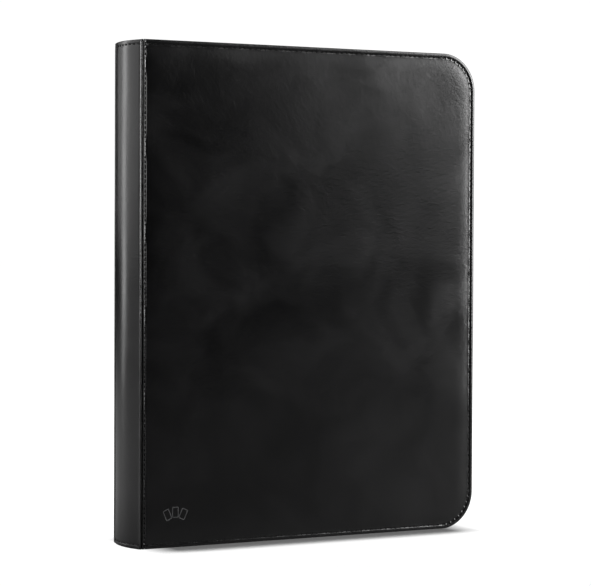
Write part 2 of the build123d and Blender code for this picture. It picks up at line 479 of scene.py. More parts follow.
lightPlan = {
    "rightSoftbox": {"place": (1.70, -1.44, 1.12), "size": (0.9, 1.3), "power": 44},
    "rightFill": {"place": (1.56, -1.78, 0.78), "size": (0.9, 1.05), "power": 1.4},
    "rightLowStrip": {"place": (1.82, -1.42, 0.36), "size": (0.46, 0.66), "power": 17},
    "frontLeftStrip": {"place": (-1.48, -1.13, 0.75), "size": (0.5, 1.2), "power": 8},
    "backLeftStrip": {"place": (-1.12, 1.77, 0.80), "size": (0.42, 1.6), "power": 6.4},
    "backLeftFill": {"place": (-1.75, 1.3, 0.85), "size": (1.6, 1.4), "power": 9},
    "leftSoftbox": {"place": (-2.2, -0.55, 0.85), "size": (0.5, 1.5), "power": 105},
    "backFill": {"place": (-0.7, 2.4, 0.9), "size": (0.8, 1.4), "power": 2},
    "backRightSoftbox": {"place": (2.0, 1.8, 1.0), "size": (1.4, 1.6), "power": 11},
    "topSoftbox": {"place": (0.1, 0.1, 2.3), "size": (1.4, 1.0), "power": 18},
}
studio = {
    # darkFloor is the floor colour in front of the binder, painted dark as shade for the leather to reflect
    "ambient": 0.008, "backdrop": 1.05, "darkFloor": 0.02, "paleFloor": 0.28, "paleFrom": -0.15,
    "paleTo": 0.25,
    # contactReach, contact and contactEnd set the painted contact shadow under the binder
    "contactReach": 0.05, "contact": ((0.74, 0.0), (0.84, 0.9), (0.95, 1.0)), "contactEnd": (0.112, 0.137),
    # glow: the floor's glow by distance, a little weaker near the binder as painted soft shade
    "glow": ((0.03, 0.93), (0.2, 1.0)), "glowReach": 5.0,
}


def addLights():
    aim = Vector((0, 0, tall / 2))
    for name, plan in lightPlan.items():
        bpy.ops.object.light_add(type="AREA", location=plan["place"])
        light = bpy.context.active_object
        light.name = name
        light.data.shape = "RECTANGLE"
        light.data.size, light.data.size_y = plan["size"]
        light.data.energy = plan["power"]
        light.rotation_euler = (aim - Vector(plan["place"])).to_track_quat("-Z", "Y").to_euler()


def seenByCamera(nodes, links, plain, seen):
    # the backdrop and floor look white to the camera without lighting the binder
    rays = nodes.new("ShaderNodeLightPath")
    mix = nodes.new("ShaderNodeMixShader")
    links.new(rays.outputs["Is Camera Ray"], mix.inputs[0])
    links.new(plain, mix.inputs[1])
    links.new(seen, mix.inputs[2])
    return mix.outputs[0]


def addWorld():
    world = bpy.data.worlds.new("studio")
    bpy.context.scene.world = world
    world.use_nodes = True
    nodes, links = world.node_tree.nodes, world.node_tree.links
    plain = nodes["Background"]
    plain.inputs["Strength"].default_value = studio["ambient"]
    bright = nodes.new("ShaderNodeBackground")
    for back in (plain, bright):
        back.inputs["Color"].default_value = (1, 1, 1, 1)
    bright.inputs["Strength"].default_value = studio["backdrop"]
    links.new(seenByCamera(nodes, links, plain.outputs[0], bright.outputs[0]),
              nodes["World Output"].inputs["Surface"])


def addFloor():
    bpy.ops.mesh.primitive_plane_add(size=30, location=(0, 0, 0))
    floor = newPiece("floor")
    material, nodes, links, shader = newMaterial("paleFloor", (studio["paleFloor"],) * 3, 0.7)
    # painted shade: the floor is coloured dark in front of the binder so the leather reflects dark there, bare pale
    # floor behind it
    sides = nodes.new("ShaderNodeSeparateXYZ")
    links.new(coordinates(nodes), sides.inputs[0])
    card = nodes.new("ShaderNodeMapRange")
    card.inputs["From Min"].default_value = studio["paleFrom"]
    card.inputs["From Max"].default_value = studio["paleTo"]
    card.inputs["To Min"].default_value = studio["darkFloor"]
    card.inputs["To Max"].default_value = studio["paleFloor"]
    links.new(sides.outputs["Y"], card.inputs["Value"])
    links.new(card.outputs[0], shader.inputs["Base Color"])
    # the floor's glow grows a little weaker toward the binder: painted soft shade round it
    reach = nodes.new("ShaderNodeVectorMath")
    reach.operation = "LENGTH"
    links.new(coordinates(nodes), reach.inputs[0])
    share = nodes.new("ShaderNodeMath")
    share.operation = "DIVIDE"
    share.inputs[1].default_value = studio["glowReach"]
    links.new(reach.outputs["Value"], share.inputs[0])
    glow = nodes.new("ShaderNodeEmission")
    links.new(rampNode(nodes, links, share.outputs[0], studio["glow"]), glow.inputs["Color"])
    # painted contact shadow: the glow dies away where the binder stands on the floor, fading out toward the
    # binder's two ends
    corner = nodes.new("ShaderNodeAmbientOcclusion")
    corner.inputs["Distance"].default_value = studio["contactReach"]
    aside = nodes.new("ShaderNodeMath")
    aside.operation = "ABSOLUTE"
    links.new(sides.outputs["X"], aside.inputs[0])
    left = nodes.new("ShaderNodeMapRange")
    left.inputs["From Min"].default_value = studio["contactEnd"][0]
    left.inputs["From Max"].default_value = studio["contactEnd"][1]
    links.new(aside.outputs[0], left.inputs["Value"])
    strength = nodes.new("ShaderNodeMath")
    strength.operation = "MAXIMUM"
    links.new(rampNode(nodes, links, corner.outputs["AO"], studio["contact"]), strength.inputs[0])
    links.new(left.outputs[0], strength.inputs[1])
    links.new(strength.outputs[0], glow.inputs["Strength"])
    add = nodes.new("ShaderNodeAddShader")
    links.new(shader.outputs[0], add.inputs[0])
    links.new(glow.outputs[0], add.inputs[1])
    links.new(seenByCamera(nodes, links, shader.outputs[0], add.outputs[0]),
              nodes["Material Output"].inputs["Surface"])
    giveMaterial(floor, material)


bpy.context.scene.view_settings.view_transform = "Standard"
addCamera()
addLights()
addWorld()
addFloor()
print("stage: camera, lights and floor")


# padded leather of a cover

coverSkin = {
    "start": 1.3, "spacing": 0.6, "cornerSteps": 70,
    "columns": (1.6, 1.9, 2.2, 2.5, 2.7, 2.9, 3.15, 3.5, 3.8, 4.0, 4.2, 4.45, 5.0, 6.0, 7.5, 9.0),
    "rimTop": 0.75, "rimFoot": 2.3, "lipOut": 0.3,
    "rings": (0.15, 0.4, 0.8, 1.5, 2.0, 2.35, 2.55, 2.75, 3.0, 3.3, 3.55, 3.8, 4.1, 4.5, 5.2, 6.2, 7.6, 9.5,
              12.0, 15.0),
    "rimDepth": ((0, 0.75), (0.15, 0.42), (0.4, 0.24), (0.8, 0.14), (1.5, 0.08), (2.0, 0.12), (2.35, 0.23),
                 (2.55, 0.32),
                 (2.75, 0.39), (3.0, 0.42), (3.3, 0.42), (3.55, 0.39), (3.8, 0.32), (4.1, 0.3), (4.5, 0.3),
                 (5.2, 0.28),
                 (6.2, 0.23), (7.6, 0.16), (9.5, 0.09), (12, 0.03), (15, 0.0)),
    "seamDepth": ((1.3, 1.9), (1.6, 1.35), (1.9, 0.86), (2.2, 0.6), (2.5, 0.36), (2.7, 0.32), (2.9, 0.42),
                  (3.15, 0.6),
                  (3.5, 0.68), (3.8, 0.62), (4.0, 0.46), (4.2, 0.29), (4.45, 0.1), (5.0, 0.07), (6.0, 0.05),
                  (7.5, 0.03), (9, 0.0)),
    "gapRise": 0.29, "gapWidth": 0.65, "crown": 1.1, "wave": 0.07, "gridStep": 11.5,
}


def skinDepth(x, z):
    inset, direction, run = rimPlace(x, z)
    fromCrease = x - creaseX
    rimPart = readTable(coverSkin["rimDepth"], inset / mm)
    seamPart = readTable(coverSkin["seamDepth"], fromCrease / mm)
    # between two stitches the leather swells up again
    rimWave = max(0, math.cos(2 * math.pi * run / rimRow["pitch"])) ** 2
    seamWave = max(0, math.cos(2 * math.pi * z / seamRow["pitch"])) ** 2
    rimPart -= coverSkin["gapRise"] * rimWave * math.exp(-((inset / mm - 3.15) / coverSkin["gapWidth"]) ** 2)
    seamPart -= coverSkin["gapRise"] * seamWave * math.exp(-((fromCrease / mm - 3.45) / coverSkin["gapWidth"]) ** 2)
    depth = max(rimPart, seamPart)
    acrossX = (x - (creaseX + foreX) / 2) / ((foreX - creaseX) / 2)
    acrossZ = (z - tall / 2) / (tall / 2)
    depth -= coverSkin["crown"] * max(0, 1 - acrossX ** 2) * max(0, 1 - acrossZ ** 2)
    softness = min(1.0, max(0.0, (inset / mm - 4) / 8))
    depth += coverSkin["wave"] * noise.noise(Vector((x * 22, z * 22, 0.7))) * softness
    return depth * mm


def makeCoverLeather():
    skin = coverOutline("frontLeather", 0, coverSkin["start"] * mm, coverSkin["spacing"] * mm,
                        coverSkin["cornerSteps"], coverSkin["columns"])
    slide(y=outerY + coverSkin["rimFoot"] * mm)
    bpy.ops.mesh.extrude_edges_move(TRANSFORM_OT_translate={"value": (0,
                                                                      (coverSkin["rimTop"] - coverSkin["rimFoot"]) * mm, 0)})
    for inset in coverSkin["rings"]:
        ringTo(skin, inset)
    faceY = outerY + coverSkin["rimTop"] * mm
    bpy.ops.mesh.edge_face_add()
    lastRing = coverSkin["rings"][-1] * mm
    lastColumn = creaseX + coverSkin["columns"][-1] * mm

    def innerFace(face):
        centre = face.calc_center_median()
        return rimPlace(centre.x, centre.z)[0] > lastRing and centre.x > creaseX + coverSkin["start"] * mm

    # fine columns beside the crease, then an even grid over the panel
    bpy.ops.mesh.select_mode(type="FACE")
    for column in coverSkin["columns"]:
        pick(skin, "faces", innerFace)
        bpy.ops.mesh.bisect(plane_co=(creaseX + column * mm, 0, 0), plane_no=(1, 0, 0))
    bpy.ops.mesh.select_mode(type="EDGE")
    pick(skin, "edges", lambda edge: edge.calc_length() > 100 * mm)
    bpy.ops.mesh.subdivide(number_cuts=round((tall - 2 * lastRing) / (coverSkin["spacing"] * mm)) - 1)
    across = round((foreX - lastColumn - lastRing) / (coverSkin["gridStep"] * mm))
    down = round((tall - 2 * lastRing) / (coverSkin["gridStep"] * mm))

    def panelFace(face):
        return face.calc_area() > 3e-6 and innerFace(face)

    bpy.ops.mesh.select_mode(type="FACE")
    for step in range(1, across):
        pick(skin, "faces", panelFace)
        cutX = lastColumn + step * (foreX - lastColumn - lastRing) / across
        bpy.ops.mesh.bisect(plane_co=(cutX, 0, 0), plane_no=(1, 0, 0))
    for step in range(1, down):
        pick(skin, "faces", panelFace)
        cutZ = lastRing + step * (tall - 2 * lastRing) / down
        bpy.ops.mesh.bisect(plane_co=(0, 0, cutZ), plane_no=(0, 0, 1))
    # the inner face: the crease side closed, a turned edge, then one flat face across the back
    bpy.ops.mesh.select_mode(type="EDGE")
    pick(skin, "edges", lambda edge: edge.is_boundary and abs(edge.verts[0].co.y - faceY) < near
         and abs(edge.verts[1].co.y - faceY) < near)
    bpy.ops.mesh.extrude_edges_move(TRANSFORM_OT_translate={"value": (0,
                                                                      (coverSkin["rimFoot"] - coverSkin["rimTop"]) * mm, 0)})
    selectAll()
    bpy.ops.mesh.remove_doubles(threshold=0.005 * mm)
    bpy.ops.mesh.select_all(action="DESELECT")
    backY = outerY + coverSkin["rimFoot"] * mm
    pick(skin, "edges", lambda edge: edge.is_boundary and abs(edge.verts[0].co.y - backY) < near
         and edge.verts[0].co.x > creaseX + coverSkin["start"] * mm - near)
    bpy.ops.mesh.edge_face_add()
    bpy.ops.mesh.select_mode(type="FACE")
    leaveEdit()

    def place(co):
        inset, direction, run = rimPlace(co.x, co.z)
        swell = coverSkin["lipOut"] * mm * max(0, 1 - inset / (1.5 * mm))
        out = Vector((direction[0], 0, direction[1])) * swell
        if co.y > faceY + near:
            return co + out
        return Vector((co.x, outerY + skinDepth(co.x, co.z), co.z)) + out

    moveVerts(skin, place)
    closeUp(skin, 50)
    return skin


frontLeather = makeCoverLeather()
backLeather = mirrorToBack(frontLeather, "backLeather")
for skin, cover in ((frontLeather, "front"), (backLeather, "back")):
    giveMaterial(skin, leather)
    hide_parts(f"{cover}_leather", f"{cover}_foam")
    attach(skin, f"{cover}_cover")
print("stage: cover leather", len(frontLeather.data.polygons), "faces")


# spine leather

spineSkin = {
    "ends": ((0, 0.8), (0.15, 0.42), (0.45, 0.22), (0.9, 0.12), (1.5, 0.08), (2.0, 0.08), (2.3, 0.13),
             (2.6, 0.24),
             (3.0, 0.3), (3.35, 0.29), (3.7, 0.22), (4.0, 0.14), (4.6, 0.1), (6.0, 0.06), (7.5, 0.03),
             (10, 0.02),
             (16, 0)),
    "steps": 44, "bodyStep": 7.0, "thick": 1.0, "wave": 0.22, "edgeDip": 0.45, "gapRise": 0.2,
}
spineAngle = 2 * math.asin(-outerY / spineRadius)
spineRowPitch = 4.85


def spineDepth(angle, z):
    fromEnd = min(z, tall - z)
    depth = readTable(spineSkin["ends"], fromEnd / mm)
    run = (angle + spineAngle / 2) * spineRadius
    wave = max(0, math.cos(2 * math.pi * run / (spineRowPitch * mm))) ** 2
    depth -= spineSkin["gapRise"] * wave * math.exp(-((fromEnd / mm - 3.0) / 0.6) ** 2)
    fromSide = (spineAngle / 2 - abs(angle)) * spineRadius / mm
    depth += spineSkin["edgeDip"] * math.exp(-(fromSide / 0.7) ** 2)
    softness = min(1.0, max(0.0, (fromEnd / mm - 4) / 14))
    depth += spineSkin["wave"] * noise.noise(Vector((run * 45, z * 13, 2.3))) * softness
    depth += 0.4 * spineSkin["wave"] * noise.noise(Vector((run * 30, z * 60, 5.1))) * softness
    return depth * mm


def makeSpineLeather():
    # an upright line of points, spun round the centre of the spine's curve
    bpy.ops.mesh.primitive_plane_add(size=1 * mm, location=(spineLeft, outerY, 0))
    skin = newPiece("spineLeather")
    editPiece(skin)
    selectAll()
    bpy.ops.mesh.merge(type="CENTER")
    heights = [end[0] * mm for end in spineSkin["ends"]]
    body = tall - 2 * heights[-1]
    count = round(body / (spineSkin["bodyStep"] * mm))
    heights += [heights[-1] + body * step / count for step in range(1, count)]
    heights += [tall - end[0] * mm for end in reversed(spineSkin["ends"])]
    for low, high in zip(heights, heights[1:]):
        bpy.ops.mesh.extrude_vertices_move(TRANSFORM_OT_translate={"value": (0, 0, high - low)})
    selectAll()
    bpy.ops.mesh.spin(steps=spineSkin["steps"], angle=spineAngle, center=(spineCentreX, 0, 0), axis=(0, 0, 1))
    leaveEdit()

    def place(co):
        fromCentre = Vector((co.x - spineCentreX, co.y, 0))
        angle = math.atan2(co.y, -(co.x - spineCentreX))
        radius = spineRadius - spineDepth(angle, co.z)
        direction = fromCentre.normalized()
        return Vector((spineCentreX + direction.x * radius, direction.y * radius, co.z))

    moveVerts(skin, place)
    solid = skin.modifiers.new("thickness", "SOLIDIFY")
    solid.thickness = spineSkin["thick"] * mm
    solid.offset = -1
    editPiece(skin)
    selectAll()
    bpy.ops.mesh.normals_make_consistent(inside=False)
    leaveEdit()
    if sum(face.normal.x * face.area for face in skin.data.polygons) > 0:
        skin.data.flip_normals()
    applyModifiers(skin)
    closeUp(skin, 50)
    return skin


spineLeather = makeSpineLeather()
giveMaterial(spineLeather, spineFinish)
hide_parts("spine_leather", "spine_foam")
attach(spineLeather, "spine")
print("stage: spine leather", len(spineLeather.data.polygons), "faces")


# the folded seam that stands up along each crease

seamFold = {
    # outline in mm: along X from the crease, and out of the cover's face
    "outline": ((-0.75, -0.75), (-0.9, -0.2), (-0.8, 0.3), (-0.45, 0.64), (0.05, 0.74), (0.45, 0.56),
                (0.72, 0.12),
                (0.86, -0.4), (1.0, -1.0), (1.45, -1.45), (1.7, -1.75), (1.2, -2.2), (0.2, -2.3),
                (-0.5, -1.6)),
    "endStep": 0.8, "step": 4.0,
}


def makeSeamFold():
    bpy.ops.mesh.primitive_circle_add(vertices=len(seamFold["outline"]), radius=1 * mm, fill_type="NGON")
    fold = newPiece("frontSeamFold")
    for vert, (x, out) in zip(fold.data.vertices, seamFold["outline"]):
        vert.co = Vector((creaseX + x * mm, outerY - out * mm, 0.9 * mm))
    editPiece(fold)
    selectAll()
    rise = tall - 1.8 * mm
    steps = round(rise / (seamFold["step"] * mm))
    for step in range(steps):
        extrudeBy(z=rise / steps)
    # round off both ends
    for end, sign in ((0.9 * mm, -1), (tall - 0.9 * mm, 1)):
        pick(fold, "verts", lambda vert: abs(vert.co.z - end) < near)
        for shrink, lift in ((0.86, 0.35), (0.6, 0.3)):
            bpy.ops.mesh.select_mode(type="FACE")
            bpy.ops.mesh.extrude_region_move(TRANSFORM_OT_translate={"value": (0, 0, sign * lift * mm)})
            bpy.ops.transform.resize(value=(shrink, shrink, 1),
                                     center_override=(creaseX + 0.2 * mm, outerY + 0.6 * mm, end))
            bpy.ops.mesh.select_mode(type="VERT")
    leaveEdit()

    def place(co):
        fromEnd = min(co.z, tall - co.z) / mm
        pinch = 0.5 * math.exp(-((fromEnd - 3) / 1.1) ** 2) + 0.25 * math.exp(-(fromEnd / 1.6) ** 2)
        drift = 0.08 * noise.noise(Vector((0.4, co.z * 40, 1.7)))
        return Vector((co.x + drift * mm, co.y + pinch * mm, co.z))

    moveVerts(fold, place)
    closeUp(fold, 60)
    return fold


frontFold = makeSeamFold()
backFold = mirrorToBack(frontFold, "backSeamFold")
for fold, cover, side in ((frontFold, "front", -1), (backFold, "back", 1)):
    giveMaterial(fold, leather)
    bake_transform(fold)
print("stage: seam folds")


# stitches

stitchShape = {"length": 2.75, "radius": 0.56, "sink": 0.4, "slant": 13, "depth": 0.46}
spineStitch = {"length": 2.5, "radius": 0.68, "sink": 0.25, "depth": 0.42}
seamStitch = {"length": 2.3, "radius": 0.36, "sink": 0.3, "slant": 14, "depth": 0.5}


def makeStitch(name, shape):
    bpy.ops.mesh.primitive_cylinder_add(vertices=8, radius=shape["radius"] * mm,
                                        depth=shape["length"] * 0.5 * mm,
                                        rotation=(0, math.pi / 2, 0))
    stitch = newPiece(name)
    editPiece(stitch, "FACE")
    for sign in (-1, 1):
        pick(stitch, "faces", lambda face: face.normal.x * sign > 0.9)
        for share, shrink in ((0.15, 0.92), (0.1, 0.55)):
            extrudeBy(x=sign * shape["length"] * share * mm)
            bpy.ops.transform.resize(value=(1, shrink, shrink))
    bpy.ops.mesh.select_all(action="DESELECT")
    leaveEdit()
    half = shape["length"] / 2 * mm
    moveVerts(stitch, lambda co: Vector((co.x, co.y - shape["sink"] * mm * (co.x / half) ** 2, co.z)))
    closeUp(stitch, 60)
    return stitch


def rimStitchPlaces():
    places = []
    count = int(rowLength / rimRow["pitch"])
    slant = Matrix.Rotation(math.radians(stitchShape["slant"]), 4, "Y")
    for index in range(1, count):
        run = (index + 0.5) * rimRow["pitch"]
        place, travel, out = rimPoint(run, rimRow["inset"])
        place.y = outerY + stitchShape["depth"] * mm
        places.append(axesAt(place, travel, Vector((0, -1, 0))) @ slant)
    return places


def seamStitchPlaces():
    places = []
    slant = Matrix.Rotation(math.radians(seamStitch["slant"]), 4, "Y")
    for index in range(int(tall / seamRow["pitch"])):
        z = (index + 0.5) * seamRow["pitch"]
        place = Vector((creaseX + seamRow["inset"], outerY + seamStitch["depth"] * mm, z))
        places.append(axesAt(place, Vector((0, 0, 1)), Vector((0, -1, 0))) @ slant)
    return places


def spineStitchPlaces():
    places = []
    pitch = spineRowPitch * mm
    count = int(spineAngle * spineRadius / pitch)
    for z in (rimRow["inset"], tall - rimRow["inset"]):
        for index in range(count):
            angle = -spineAngle / 2 + (index + 0.5) * pitch / spineRadius
            out = Vector((-math.cos(angle), math.sin(angle), 0))
            place = Vector((spineCentreX, 0, z)) + out * (spineRadius - spineStitch["depth"] * mm)
            travel = Vector((math.sin(angle), math.cos(angle), 0))
            places.append(axesAt(place, travel, out))
    return places


rimStitch = makeStitch("rimStitch", stitchShape)
frontRimStitches = layAlong(rimStitch, "frontRimStitches", rimStitchPlaces())
spineStitchPiece = makeStitch("spineStitch", spineStitch)
spineStitches = layAlong(spineStitchPiece, "spineStitches", spineStitchPlaces())
seamStitchPiece = makeStitch("seamStitch", seamStitch)
frontSeamStitches = layAlong(seamStitchPiece, "frontSeamStitches", seamStitchPlaces())
removePiece(rimStitch)
removePiece(spineStitchPiece)
removePiece(seamStitchPiece)
backRimStitches = mirrorToBack(frontRimStitches, "backRimStitches")
backSeamStitches = mirrorToBack(frontSeamStitches, "backSeamStitches")
for rows, body, node in (((frontRimStitches, frontSeamStitches), "front_cover", "front_stitching"),
                         ((backRimStitches, backSeamStitches), "back_cover", "back_stitching"),
                         ((spineStitches,), "spine", "spine_stitching")):
    for row in rows:
        giveMaterial(row, thread)
        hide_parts(node)
        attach(row, body)
print("stage: stitches", len(frontRimStitches.data.polygons), "faces in the rim row")

# lining of a cover: cloth wrapped over the board, dropping to its glued flange all round

liningShape = {
    "inset": 4.0, "fromCrease": 1.6, "thick": 0.45, "spacing": 4.0, "cornerSteps": 18, "gridStep": 22.0,
    "columns": (2.4, 3.4, 4.6, 5.8, 7.0, 8.2, 9.4),
    "rings": (4.8, 5.4, 5.9, 6.4, 7.0, 8.0, 10.0),
    "rim": ((4.0, 2.35), (4.8, 2.5), (5.4, 3.2), (5.9, 4.1), (6.4, 4.6), (7.0, 4.75), (8.0, 4.8)),
    "crease": ((1.6, 2.2), (2.4, 2.3), (3.4, 2.55), (4.6, 3.1), (5.8, 4.0), (7.0, 4.6), (8.2, 4.78),
               (9.4, 4.8)),
    "wave": 0.06,
}


def makeCoverLining():
    shape = liningShape
    lining = coverOutline("frontLining", shape["inset"] * mm, shape["fromCrease"] * mm, shape["spacing"] * mm,
                          shape["cornerSteps"], shape["columns"])
    for inset in shape["rings"]:
        ringTo(lining, inset)
    bpy.ops.mesh.edge_face_add()
    lastRing = shape["rings"][-1] * mm
    lastColumn = creaseX + shape["columns"][-1] * mm

    def innerFace(face):
        centre = face.calc_center_median()
        return rimPlace(centre.x, centre.z)[0] > lastRing

    bpy.ops.mesh.select_mode(type="FACE")
    across = round((foreX - lastColumn - lastRing) / (shape["gridStep"] * mm))
    down = round((tall - 2 * lastRing) / (shape["gridStep"] * mm))
    cuts = [creaseX + column * mm for column in shape["columns"]]
    cuts += [lastColumn + step * (foreX - lastColumn - lastRing) / across for step in range(1, across)]
    for cutX in cuts:
        pick(lining, "faces", innerFace)
        bpy.ops.mesh.bisect(plane_co=(cutX, 0, 0), plane_no=(1, 0, 0))
    for step in range(1, down):
        pick(lining, "faces", innerFace)
        bpy.ops.mesh.bisect(plane_co=(0, 0, lastRing + step * (tall - 2 * lastRing) / down),
                            plane_no=(0, 0, 1))
    leaveEdit()

    def place(co):
        inset = rimPlace(co.x, co.z)[0] / mm
        depth = min(readTable(shape["rim"], inset), readTable(shape["crease"], (co.x - creaseX) / mm))
        depth += shape["wave"] * noise.noise(Vector((co.x * 30, co.z * 30, 4.2))) * min(1,
                                                                                        max(0,
                                                                                            (inset - 8) / 6))
        return Vector((co.x, outerY + depth * mm, co.z))

    moveVerts(lining, place)
    thicken(lining, shape["thick"], Vector((0, 1, 0)))
    closeUp(lining, 50)
    return lining


def thicken(piece, thick, outward):
    # faces first turned to look outward, then given their thickness behind
    editPiece(piece)
    selectAll()
    bpy.ops.mesh.normals_make_consistent(inside=False)
    leaveEdit()
    if sum(face.normal.dot(outward) * face.area for face in piece.data.polygons) < 0:
        piece.data.flip_normals()
    solid = piece.modifiers.new("thickness", "SOLIDIFY")
    solid.thickness = thick * mm
    solid.offset = -1
    applyModifiers(piece)


frontLining = makeCoverLining()
backLining = mirrorToBack(frontLining, "backLining")
for piece, cover in ((frontLining, "front"), (backLining, "back")):
    giveMaterial(piece, liningCloth)
    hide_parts(f"{cover}_lining")
    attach(piece, f"{cover}_cover")
print("stage: cover linings")


# spine lining, and the hinge cloth that joins it to each cover

spineInside = {"face": 2.35, "halfWidth": 14.4, "end": 4.5, "thick": 0.45, "wave": 0.12, "step": 10.0}
hingeCloth = {
    # from the spine's lining round the joint to the cover's flange, in mm from crease and from the outer face
    "path": ((2.3, 6.3), (2.25, 5.6), (1.7, 4.9), (1.1, 4.1), (0.85, 3.3), (1.0, 2.6), (1.6, 2.05),
             (2.6, 1.95), (3.6, 2.15)),
    "thick": 0.4, "end": 5.0, "step": 9.0,
}


def upright(name, points, low, high, step):
    # a line of points in plan, drawn up into a sheet
    bpy.ops.mesh.primitive_plane_add(size=1 * mm, location=(points[0][0], points[0][1], low))
    sheet = newPiece(name)
    editPiece(sheet)
    selectAll()
    bpy.ops.mesh.merge(type="CENTER")
    for first, second in zip(points, points[1:]):
        bpy.ops.mesh.extrude_vertices_move(
            TRANSFORM_OT_translate={"value": (second[0] - first[0], second[1] - first[1], 0)})
    selectAll()
    count = round((high - low) / step)
    for rise in range(count):
        bpy.ops.mesh.extrude_edges_move(TRANSFORM_OT_translate={"value": (0, 0, (high - low) / count)})
    leaveEdit()
    return sheet


def makeSpineLining():
    shape = spineInside
    half = shape["halfWidth"] * mm
    points = [(creaseX + shape["face"] * mm, half * (step / 8 - 1)) for step in range(17)]
    lining = upright("spineLining", points, shape["end"] * mm, tall - shape["end"] * mm, shape["step"] * mm)

    def place(co):
        ripple = shape["wave"] * noise.noise(Vector((co.y * 60, co.z * 25, 8.8)))
        edge = 0.7 * max(0, (abs(co.y) - half + 1.8 * mm) / (1.8 * mm)) ** 2
        fromEnd = min(co.z, tall - co.z) / mm - shape["end"]
        tuck = 0.8 * max(0, 1 - fromEnd / 6) ** 2
        return Vector((co.x + (ripple - edge - tuck) * mm, co.y, co.z))

    moveVerts(lining, place)
    thicken(lining, shape["thick"], Vector((1, 0, 0)))
    closeUp(lining, 50)
    return lining


def makeHingeCloth():
    shape = hingeCloth
    points = [(creaseX + x * mm, outerY + depth * mm) for x, depth in shape["path"]]
    cloth = upright("frontHingeCloth", points, shape["end"] * mm, tall - shape["end"] * mm,
                    shape["step"] * mm)
    moveVerts(cloth, lambda co: Vector((co.x + 0.15 * mm * noise.noise(Vector((co.y * 90, co.z * 28, 3))),
                                        co.y, co.z)))
    thicken(cloth, shape["thick"], Vector((1, 0.4, 0)))
    closeUp(cloth, 60)
    return cloth


spineLining = makeSpineLining()
giveMaterial(spineLining, liningCloth)
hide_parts("spine_lining")
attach(spineLining, "spine")
frontHinge = makeHingeCloth()
backHinge = mirrorToBack(frontHinge, "backHingeCloth")
for piece, cover, side in ((frontHinge, "front", -1), (backHinge, "back", 1)):
    giveMaterial(piece, liningCloth)
    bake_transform(piece)
print("stage: spine lining and hinge cloths")


# zip tape

tapeShape = {
    # inset from the rim and depth from the outer face, from the glued flange to the edge that carries the coil
    "path": ((6.9, 1.45), (5.2, 1.4), (3.9, 1.4), (3.4, 1.7), (3.2, 2.4), (3.0, 4.0), (2.7, 6.0), (2.5, 8.0),
             (2.45, 9.6),
             (2.5, 11.2), (2.75, 13.0), (3.05, 14.6), (3.2, 15.6), (3.25, 16.4), (3.3, 17.3)),
    "start": 10.5, "thick": 0.5, "spacing": 3.0, "cornerSteps": 26, "wave": 0.18,
}


def makeZipTape():
    path = tapeShape["path"]
    tape = coverOutline("frontZipTape", path[0][0] * mm, tapeShape["start"] * mm, tapeShape["spacing"] * mm,
                        tapeShape["cornerSteps"])
    slide(y=outerY + path[0][1] * mm)
    for first, second in zip(path, path[1:]):
        ringTo(tape, second[0], second[1] - first[1])
    leaveEdit()

    def place(co):
        depth = (co.y - outerY) / mm
        inset, direction, run = rimPlace(co.x, co.z)
        loose = max(0, math.sin(math.pi * min(1, max(0, (depth - 2.4) / 13))))
        push = tapeShape["wave"] * loose * noise.noise(Vector((run * 28, depth * 0.2, 6.6))) * mm
        return co + Vector((direction[0], 0, direction[1])) * push

    moveVerts(tape, place)
    thicken(tape, tapeShape["thick"], Vector((0, 0, 0)))
    closeUp(tape, 60)
    return tape


tapePath = tapeShape["path"]
tapeCut = (sum(math.dist(first, second) for first, second in zip(tapePath, tapePath[1:])) * mm,
           rowLength - 2 * tapeShape["start"] * mm)
frontTape = makeZipTape()
backTape = mirrorToBack(frontTape, "backZipTape")
for piece, cover in ((frontTape, "front"), (backTape, "back")):
    giveMaterial(piece, tapeCloth)
    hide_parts(f"{cover}_zip_tape")
    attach(piece, f"{cover}_cover")
print("stage: zip tapes")


# zip coil: one loop of the coil, repeated along the tape's edge

coilShape = {
    "pitch": 1.45, "wire": 0.29, "inset": 3.3, "leg": 0.72, "legStart": 3.1, "reach": 0.25, "openReach": 1.15,
    "start": 14.8, "sides": 5, "turns": 5,
}


def makeCoilLoop(name, reach):
    # in its own place: X along the tape, Y toward the other half, Z across
    shape = coilShape
    bpy.ops.mesh.primitive_circle_add(vertices=shape["sides"], radius=shape["wire"] * mm, fill_type="NGON",
                                      location=(0, -shape["legStart"] * mm, -shape["leg"] * mm),
                                      rotation=(math.pi / 2, 0, 0))
    loop = newPiece(name)
    editPiece(loop, "FACE")
    selectAll()
    straight = (shape["legStart"] - reach - shape["leg"]) * mm
    extrudeBy(y=straight)
    bpy.ops.mesh.spin(steps=shape["turns"], angle=math.pi, center=(0, -(reach + shape["leg"]) * mm, 0),
                      axis=(1, 0, 0))
    extrudeBy(y=-straight)
    leaveEdit()
    closeUp(loop, 60)
    return loop


def coilPlaces(shift, parked):
    # parked loops are the ones held apart under the slider's post
    places = []
    run = coilShape["start"] * mm + shift
    slant = Matrix.Rotation(math.radians(7), 4, "Z")
    while run < rowLength - coilShape["start"] * mm:
        underPost = run < 20.5 * mm
        if underPost == parked:
            point, travel, out = rimPoint(run, coilShape["inset"] * mm)
            places.append(axesAt(point, travel, Vector((0, 1, 0))) @ slant)
        run += coilShape["pitch"] * mm
    return places


def makeCoil(name, shift):
    closed = makeCoilLoop("closedLoop", -coilShape["reach"])
    opened = makeCoilLoop("openLoop", coilShape["openReach"])
    coil = layAlong(closed, name, coilPlaces(shift, False))
    apart = layAlong(opened, name + "Apart", coilPlaces(shift, True))
    onlySelect(coil)
    apart.select_set(True)
    bpy.ops.object.join()
    removePiece(closed)
    removePiece(opened)
    return coil


